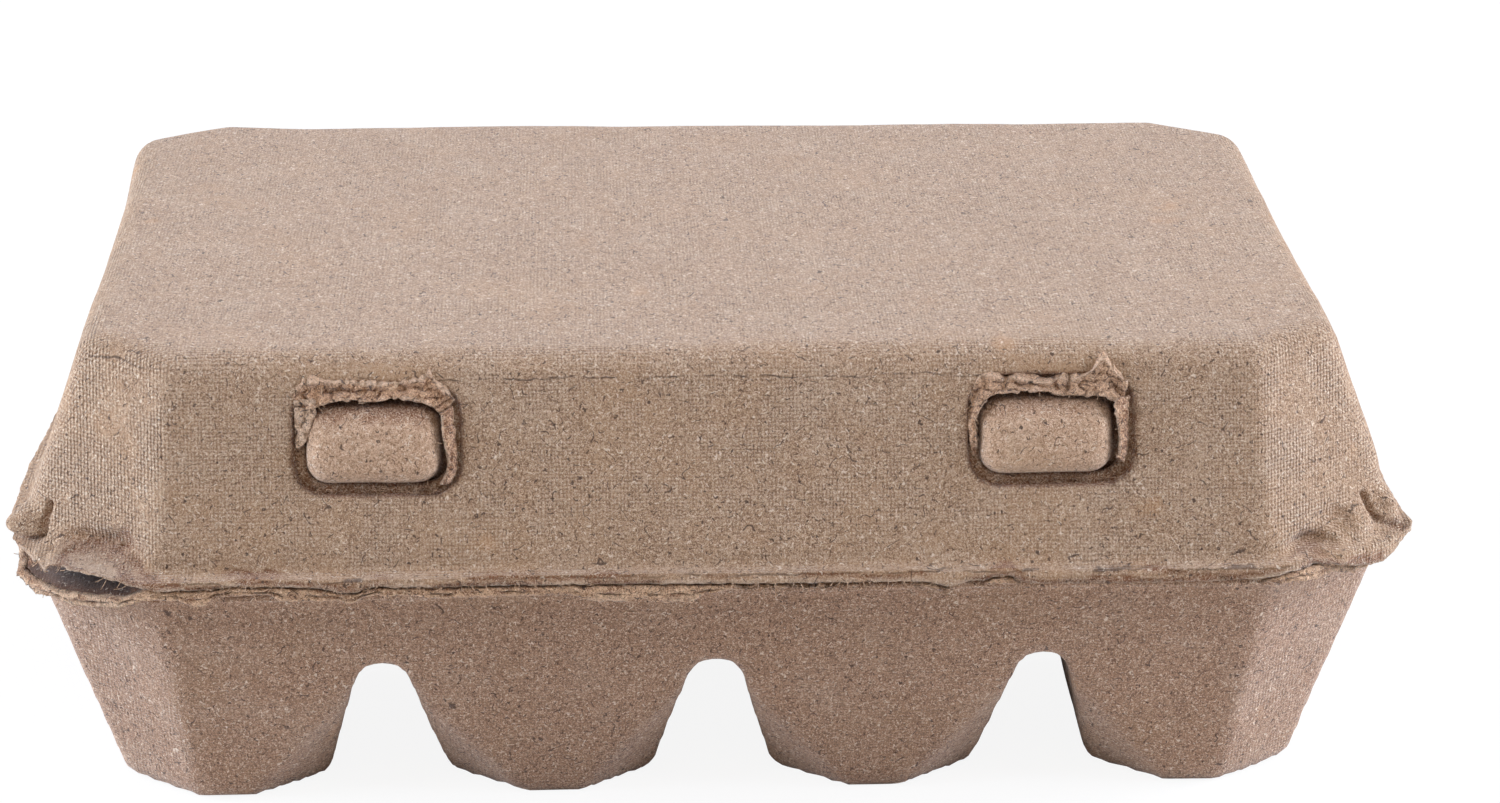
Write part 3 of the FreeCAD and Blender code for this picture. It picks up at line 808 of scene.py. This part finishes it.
# Torn paper sheets around the windows. Each lies between two edges, given as (u, s, n) on the wall,
# and has its own sag, and share of pale and of brown.
sheetPlan = {
    "thickness": 0.42, "across": 22, "step": 0.16, "teeth": 0.13, "ripple": 0.22, "crack": 0.30,
    "ridge": 0.68,            # past this share of its width a top sheet turns down into the wall
    "hem": (0.9, -0.95),      # how far up and in it goes there
}
tornSheets = {
    "leftTopTear": (
        ((-57, 24.4, 0), (-55.1, 25, 0.4), (-53.4, 25.6, 0.6), (-51.2, 26.1, 0.7), (-49.4, 26.1, 0.7),
         (-48.1, 25.7, 0.8), (-46.8, 25.8, 0.7), (-45, 26.3, 0.6), (-42.8, 26.4, 0.6), (-40.7, 25.9, 0.6),
         (-39.2, 25.2, 0.6), (-38.2, 24.2, 0.5), (-37.3, 23.4, 0.2)),
        ((-58.2, 26.6, 0.15), (-57.4, 28, 0.35), (-55.3, 28.8, 0.4), (-53.1, 28.3, 0.4),
         (-50.1, 28.6, 0.35), (-47.1, 28, 0.4), (-44.2, 28.5, 0.35), (-41.5, 28.6, 0.4),
         (-40.1, 29, 0.45), (-39.5, 30.2, 0.7),
         (-39, 28.8, 0.45), (-37.6, 27.6, 0.35), (-36.2, 26.2, 0.2)), 0.55, (0.05, 0.10)),
    "leftFold": (
        ((-58.1, 26.4, -0.2), (-58.1, 23, -0.35), (-57.9, 19.4, -0.6)),
        ((-55, 26, 0.3), (-55.1, 24.8, 0.45), (-55.5, 23, 0.45), (-56.1, 21.1, 0.3), (-56.6, 20, 0.1),
         (-57.4, 19.3, -0.3)), 0.05, (1, 0)),
    "leftCurl": (
        ((-36.6, 25, -0.5), (-36.1, 20, -0.7), (-36.1, 16.5, -0.8), (-37.2, 14.2, -0.8)),
        ((-38, 24.2, 0.4), (-37.9, 21, 0.55), (-37.4, 18.5, 0.35), (-37.2, 16.4, 0.3),
         (-38.4, 14.3, 0.1)), -0.2, (0.10, 0.75)),
    "rightTopTear": (
        ((35.9, 22.6, -0.3), (36.4, 23.2, 0.1), (37.1, 24.6, 0.4), (38.7, 25.7, 0.6), (40.9, 26, 0.7),
         (44, 26.2, 0.7), (46.2, 26, 0.6), (47.6, 25.5, 0.6), (49.8, 25.4, 0.7), (53.5, 25.4, 0.7),
         (55.1, 24.9, 0.6), (56.6, 24.4, 0.3)),
        ((35.6, 25.6, -0.1), (36.4, 27.9, 0.3), (37.5, 28.6, 0.5), (39.8, 27.8, 0.3), (40.5, 27.3, 0.2),
         (41.1, 28.1, 0.4), (42.3, 27.7, 0.3), (44, 27.2, 0.3), (46.8, 27.1, 0.3), (47.7, 27.9, 0.4),
         (49.2, 27.3, 0.3), (50.6, 27.9, 0.4), (52, 28.5, 0.5), (53.4, 30.1, 0.7), (54, 30.8, 0.8),
         (54.6, 29.7, 0.7), (55.9, 28.3, 0.5), (57.4, 27, 0.2)), 0.5, (0.25, 0.05)),
    "rightCurl": (
        ((36.3, 25.6, -0.4), (35.4, 23.8, -0.5), (35, 22, -0.7), (35.4, 19.4, -0.8), (35.9, 17.2, -0.8)),
        ((37.4, 24.8, 0.3), (36.7, 23.4, 0.35), (36.1, 22, 0.3), (36.4, 19.6, 0.2),
         (36.3, 17.6, -0.1)), -0.15, (0.15, 0.20)),
    "rightTear": (
        ((57.5, 25.4, -0.3), (57.2, 22.5, -0.6), (57.3, 19, -0.7), (56.8, 15.8, -0.7)),
        ((55.5, 24.9, 0.5), (55.2, 23.7, 0.6), (55.8, 21.3, 0.45), (56, 18.5, 0.4),
         (55.6, 16.6, 0.3)), -0.1, (0.10, 0.75)),
}


def edgePoint(points, share):
    # a place part of the way along a line of points
    points = [Vector(p) for p in points]
    lengths = [(b - a).length for a, b in zip(points, points[1:])]
    left = share * sum(lengths)
    for a, b, length in zip(points, points[1:], lengths):
        if left <= length:
            return a.lerp(b, left / length)
        left -= length
    return points[-1]


def softened(points):
    # cuts each corner of a line twice
    points = [Vector(p) for p in points]
    for _ in range(2):
        cut = [points[0]]
        for a, b in zip(points, points[1:]):
            cut += [a.lerp(b, 0.25), a.lerp(b, 0.75)]
        points = cut + [points[-1]]
    return points


def tornSheet(name, first, second, sag, tone, seed):
    first, second = softened(first), softened(second)
    pale, brown = tone
    ridge = sheetPlan["ridge"] if "TopTear" in name else 1
    length = sum((Vector(b) - Vector(a)).length for a, b in zip(first, first[1:]))
    count = int(length / sheetPlan["step"])
    sheet = flatGrid(name, count, sheetPlan["across"])
    finishAndShade = sheet.data.attributes.new("finishAndShade", "FLOAT_COLOR", "POINT")
    for vertex, entry in zip(sheet.data.vertices, finishAndShade.data):
        t, w = vertex.co.x + 0.5, vertex.co.y + 0.5
        a, b = edgePoint(first, t), edgePoint(second, t)
        hemmed = (w - ridge) / (1 - ridge) if w > ridge else 0
        w = min(1, w / ridge)
        edge = min(max(1 - w / 0.14, (w - 0.86) / 0.14, 0), 1)
        teeth = (1 - w) * ragged(t * length, 0.9, -sheetPlan["teeth"], seed)
        teeth += w * ragged(t * length, 0.7, sheetPlan["teeth"] * 1.5, seed + 9)
        spot = a.lerp(b, w) + (b - a).normalized() * teeth
        crumple = noise(Vector((spot.x * 0.55, spot.y * 0.95, seed)))
        crack = math.exp(-(crumple / 0.07) ** 2) * eased(noise(spot * 0.6), -0.25, 0.05)
        ripple = noise(spot * 0.8) * 2 + 3.0 * abs(crumple)
        spot.z += sheetPlan["ripple"] * ripple - sheetPlan["crack"] * crack
        blotch = brown * (0.6 + 1.6 * noise(spot * 0.9))
        # painted shade in the cracks and along the hem, where the sheet dips into the wall; the blotches
        # are the sheet's own brown
        dark = max(blotch, 0.85 * crack, 0.85 * eased(hemmed, 0.05, 0.3)) * (1 - edge)
        entry.color = (max(edge * 0.8, pale) * (1 - hemmed), min(max(dark, 0), 0.9), 0, 1)
        spot.z -= sag * math.sin(math.pi * w) ** 2
        # above its ridge the sheet dips back into the wall
        spot.y += sheetPlan["hem"][0] * hemmed * (1 + noise(spot * 0.5))
        spot.z += sheetPlan["hem"][1] * hemmed
        vertex.co = onWall(*spot) * mm
    finishWith(sheet, "SOLIDIFY", thickness=sheetPlan["thickness"] * mm, offset=-1)
    finishWith(sheet, "SMOOTH", factor=0.5, iterations=1)
    return facedOut(sheet)


sheets = [tornSheet(name, *edges, seed) for seed, (name, edges) in enumerate(tornSheets.items())]
print("windows torn")


# The tray's torn rim, a ragged ribbon round the edge of its land
ribbonPlan = {
    "step": 0.27,
    "proud": 0.75,            # how far it stands out of the rim where it shows
    "hidden": -1.2,           # and where it doesn't, inside the tray's land
    "hiddenSpan": (38.5, 39.3),
}


def rimPlace(away):
    # a point that goes round the rim's outline
    a, b = rimHalfLength, rimHalfWidth
    cutX, cutY = rimCorner
    turns = [Vector(p + (0,)) for p in ((-a, -b + cutY), (-a + cutX, -b), (a - cutX, -b), (a, -b + cutY),
                                        (a, b - cutY), (a - cutX, b), (-a + cutX, b), (-a, b - cutY))]
    return edgePoint(turns + turns[:1], away)


def ribbonSection(point):
    top, bottom = parting(point) - rimPlan["gap"], tornBottom(point)
    if point.y < 0:
        top = min(top, along(rimPlan["tornTop"], point.x))
    shows = eased(top - bottom, 0.1, 0.5)
    if point.y > 0 and abs(point.x) < rimHalfLength - rimCorner[0]:
        shows = 0                                # the hinge's fold covers it there
    low, high = ribbonPlan["hiddenSpan"]
    top = high + (top - high) * shows
    bottom = low + (min(bottom, top - 0.5) - low) * shows
    out = ribbonPlan["hidden"] + (ribbonPlan["proud"] - ribbonPlan["hidden"]) * shows
    middle = (top + bottom) / 2 + 0.2 * noise(point * 0.5)
    fuzz = [0.22 * noise(Vector((point.x * 1.5, point.y * 1.5, level))) for level in range(5)]
    split = 0.5 * eased(noise(point * 0.3), -0.15, 0.25)
    return ((out - 1.6, top - 0.1), (out - 0.3, top), (out + fuzz[0], top - 0.12),
            (out + 0.1 + fuzz[1], middle + 0.2), (out + 0.05 - split, middle + 0.04),
            (out + 0.12 + fuzz[2], middle - 0.1), (out + 0.05 + fuzz[3], bottom + 0.3),
            (out - 0.15 + fuzz[4], bottom), (out - 0.6, bottom + 0.25), (out - 1.6, bottom + 0.5))


def ringAround(name, section):
    # one section after another, closed into a ring
    outline = 4 * (rimHalfLength + rimHalfWidth - sum(rimCorner)) + 4 * slantLong
    count = int(outline / ribbonPlan["step"])
    points, faces = [], []
    for i in range(count):
        place = rimPlace(i / count)
        outwards = rimSide(place)[1]
        ring = section(place)
        points += [(place + outwards * out + Vector((0, 0, z))) * mm for out, z in ring]
        size = len(ring)
        for j in range(size):
            a, b = i * size + j, i * size + (j + 1) % size
            c, d = (i + 1) % count * size + (j + 1) % size, (i + 1) % count * size + j
            faces.append((a, b, c, d))
    mesh = bpy.data.meshes.new(name)
    mesh.from_pydata(points, [], faces)
    return facedOut(added(name, mesh))


tornRim = ringAround("tornRim", ribbonSection)
reshaped(tornRim, trayForm)


def rimWear(point):
    # pale at its torn edge, with brown splits that run along it
    split = eased(noise(Vector((point.x * 0.45, point.y * 0.45, point.z * 2.4))), -0.05, 0.30)
    low = 1 - eased(point.z, 38.0, 39.2)
    return 0.6 * low * (1 - split), 0.6 * split, 0


painted(tornRim, rimWear)
print("rim torn")


# The hinge: a fold of the same pulp along the back of the rim
foldPlan = {"halfLength": 77.0, "radius": 1.25, "thickness": 0.8, "spread": 82, "inset": 0.35}
hingeFold = flatGrid("hingeFold", 200, 14)
for vertex in hingeFold.data.vertices:
    angle = math.radians(foldPlan["spread"]) * vertex.co.y * 2
    x = vertex.co.x * 2 * foldPlan["halfLength"]
    radius = foldPlan["radius"] + 0.15 * noise(Vector((x * 0.2, vertex.co.y, 0)))
    y = rimHalfWidth - foldPlan["inset"] + radius * math.cos(angle)
    vertex.co = Vector((x, y, rimHeight + radius * math.sin(angle))) * mm
finishWith(hingeFold, "SOLIDIFY", thickness=foldPlan["thickness"] * mm, offset=0)
facedOut(hingeFold)
print("hinge folded")


# Loose fibres that stand off the torn edges
hairPlan = {
    "sheet": 10,              # how many along each edge of a torn sheet
    "window": 90,             # in each sunk frame
    "lip": 120,
    "lipSpan": (0.005, 0.27),  # the front's share of the way round the rim
    "tray": 420,
    "length": (0.5, 1.9),
    "bends": 5,
    "thickness": 0.05,
}


def looseFibres(name, starts):
    curve = bpy.data.curves.new(name, "CURVE")
    curve.dimensions = "3D"
    curve.bevel_depth = hairPlan["thickness"] * mm
    curve.bevel_resolution = 0
    curve.use_fill_caps = True
    for start, away in starts:
        reach = random.uniform(*hairPlan["length"])
        turn = Vector([random.uniform(-1, 1) for _ in range(3)]) * 0.5
        heading = (away + turn).normalized()
        spline = curve.splines.new("POLY")
        spline.points.add(hairPlan["bends"])
        place = start - heading * 0.3
        for point in spline.points:
            point.co = (*(place * mm), 1)
            heading = (heading + turn * 0.45).normalized()
            place = place + heading * reach / hairPlan["bends"]
    piece = added(name, curve)
    bpy.ops.object.convert(target="MESH")
    return piece


random.seed(7)
lidStarts = []
for edges in tornSheets.values():
    for edge in edges[:2]:
        for _ in range(hairPlan["sheet"]):
            lidStarts.append((onWall(*edgePoint(edge, random.random())), outWall * 0.6 - upWall * 0.4))
halfWide, halfTall = lidPlan["recess"][0]
for middle in lidPlan["windows"]:
    for _ in range(hairPlan["window"]):
        # short brown ones lie in the sunk frame, mostly under the button
        u = middle + random.uniform(-1, 1) * halfWide * 0.9
        s = lidPlan["windowRise"] - halfTall + random.uniform(0.1, 1.3)
        away = Vector((random.choice((-1, 1)), 0, 0)) + upWall * 0.4 + outWall * 0.3
        lidStarts.append((onWall(u, s, -0.75), away))
for _ in range(hairPlan["lip"]):
    place = rimPlace(random.uniform(*hairPlan["lipSpan"]))
    outwards = rimSide(place)[1]
    start = lidForm(place + outwards * 0.1 + Vector((0, 0, rimHeight + 0.1)))
    lidStarts.append((start, outwards * 0.6 - Vector((0, 0, 0.6))))
trayStarts = []
for _ in range(hairPlan["tray"]):
    place = rimPlace(random.random())
    if place.y > 0 and random.random() < 0.5:
        place = Vector((place.x, -place.y, 0))
    if place.y < 50:
        outwards = rimSide(place)[1]
        height = tornBottom(place) + random.uniform(0, 0.4)
        start = trayForm(place + outwards * 0.3 + Vector((0, 0, height)))
        trayStarts.append((start, outwards * 0.5 - Vector((0, 0, 0.8))))


def fibreWear(point):
    # some are brown in the sunk frames
    inFrame = 50 < point.z < 57
    return 0, 0.8 * eased(noise(point * 0.9), -0.2, 0.1) * inFrame, 0


lidFibres = looseFibres("looseFibresLid", lidStarts)
painted(lidFibres, fibreWear)
trayFibres = looseFibres("looseFibresTray", trayStarts)
print("loose fibres laid")


def standing(point):
    # the feet are pressed flat, just off the floor
    return Vector((point.x, point.y, max(0.02, 2 * point.z - 1) if point.z < 1 else point.z))


# Every piece wanders alike, rides its body and takes its finish
def finished(piece, material, body, lumpy):
    wander(piece, pulpForm)
    if lumpy:
        lumps(piece, pulpForm)
    if piece is trayShell:
        reshaped(piece, standing)
    smoothShaded(piece)
    piece.data.materials.clear()
    piece.data.materials.append(material)
    if body:
        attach(piece, body)
    print(piece.name, sum(len(face.vertices) - 2 for face in piece.data.polygons), "triangles")


finished(lidShell, lidPulp, "lid", True)
finished(trayShell, trayPulp, "tray", True)
finished(lockingFlap, flapPulp, "tray", True)
for sheet in sheets:
    finished(sheet, tornPulp, "lid", False)
finished(tornRim, rimPulp, "tray", False)
finished(lidFibres, rimPulp, "lid", False)
finished(trayFibres, rimPulp, "tray", False)
finished(hingeFold, trayPulp, None, False)
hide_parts("lid")
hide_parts("tray")
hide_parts("locking_flap")
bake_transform(hingeFold)


# Studio

studio = {
    "target": Vector((7.37, 0.0, 40.77)) * mm,
    "distance": 523.2 * mm,
    "turn": 2.98,             # degrees to the left of the middle
    "height": 24.15,          # degrees above the horizon
    "roll": 0.5,
    "lens": 81.03,
    "floor": "#f4f3f1",
    "floorSize": 6,           # metres
    "sky": 0.10,
    "backdrop": 0.9,          # share of plain white in the floor that the camera sees
    "lampAim": Vector((0, 0, 40)) * mm,
}
softboxes = {                 # place and size in metres, power in watts, tint
    "topSoftbox": ((0, 0, 1.1), (1.2, 0.9), 0.25, "#fff8f0"),
    "frontSoftbox": ((0, -0.6, 1.0), (1.0, 0.6), 2.95, "#ffecd9"),
    "leftSoftbox": ((-1.0, -0.05, 0.47), (0.7, 0.7), 22.2, "#dbe9ff"),
    "rightSoftbox": ((1.0, -0.05, 0.47), (0.7, 0.7), 22.0, "#deeaff"),
    "leftRearSoftbox": ((-1.0, 0.35, 0.4), (0.7, 0.7), 5.2, "#fff2e4"),
    "rightRearSoftbox": ((1.0, 0.35, 0.4), (0.7, 0.7), 6.2, "#fff2e4"),
}


def addCamera(plan):
    turn, height, roll = (math.radians(plan[key]) for key in ("turn", "height", "roll"))
    forward = Vector((math.sin(turn) * math.cos(height), math.cos(turn) * math.cos(height),
                      -math.sin(height)))
    right = Vector((math.cos(turn), -math.sin(turn), 0))
    up = right.cross(forward)
    sideways = right * math.cos(roll) + up * math.sin(roll)
    upwards = up * math.cos(roll) - right * math.sin(roll)
    camera = added("camera", bpy.data.cameras.new("camera"))
    camera.data.lens = plan["lens"]
    camera.data.clip_start = 10 * mm
    camera.data.clip_end = 20
    turned = Matrix((sideways, upwards, -forward)).transposed().to_4x4()
    camera.matrix_world = Matrix.Translation(plan["target"] - forward * plan["distance"]) @ turned
    bpy.context.scene.camera = camera


def addSoftbox(name, place, size, power, tint):
    data = bpy.data.lights.new(name, "AREA")
    data.shape = "RECTANGLE"
    data.size, data.size_y = size
    data.energy = power
    data.color = fromHex(tint)[:3]
    lamp = added(name, data)
    aim = (studio["lampAim"] - Vector(place)).to_track_quat("-Z", "Y")
    lamp.matrix_world = Matrix.Translation(place) @ aim.to_matrix().to_4x4()


def addFloor(plan):
    bpy.ops.object.select_all(action="DESELECT")
    bpy.ops.mesh.primitive_plane_add(size=plan["floorSize"], location=(0, 0, 0))
    floor = bpy.context.object
    floor.name = "floor"
    material = bpy.data.materials.new("seamlessPaper")       # matt, without grain or shine
    material.use_nodes = True
    tree = material.node_tree
    tree.nodes.clear()
    matte = addNode(tree, "BsdfDiffuse", {"Color": fromHex(plan["floor"])})
    white = addNode(tree, "Emission", {"Color": (1, 1, 1, 1), "Strength": 1.0})
    rays = addNode(tree, "LightPath")
    seen = addNode(tree, "Math", (rays.outputs["Is Camera Ray"], plan["backdrop"]), "MULTIPLY")
    both = addNode(tree, "MixShader", (seen, matte, white))
    addNode(tree, "OutputMaterial", (both,))
    floor.data.materials.append(material)


def addWorld(plan):
    world = bpy.data.worlds.new("studio")
    world.use_nodes = True
    tree = world.node_tree
    tree.nodes.clear()
    rays = addNode(tree, "LightPath")
    level = addNode(tree, "MapRange", {0: rays.outputs["Is Camera Ray"], 3: plan["sky"], 4: 1.0})
    sky = addNode(tree, "Background", {"Color": (1, 1, 1, 1), "Strength": level})
    addNode(tree, "OutputWorld", (sky,))
    bpy.context.scene.world = world


addCamera(studio)
addFloor(studio)
addWorld(studio)
for name, settings in softboxes.items():
    addSoftbox(name, *settings)
bpy.context.scene.view_settings.view_transform = "Standard"
print("studio set")
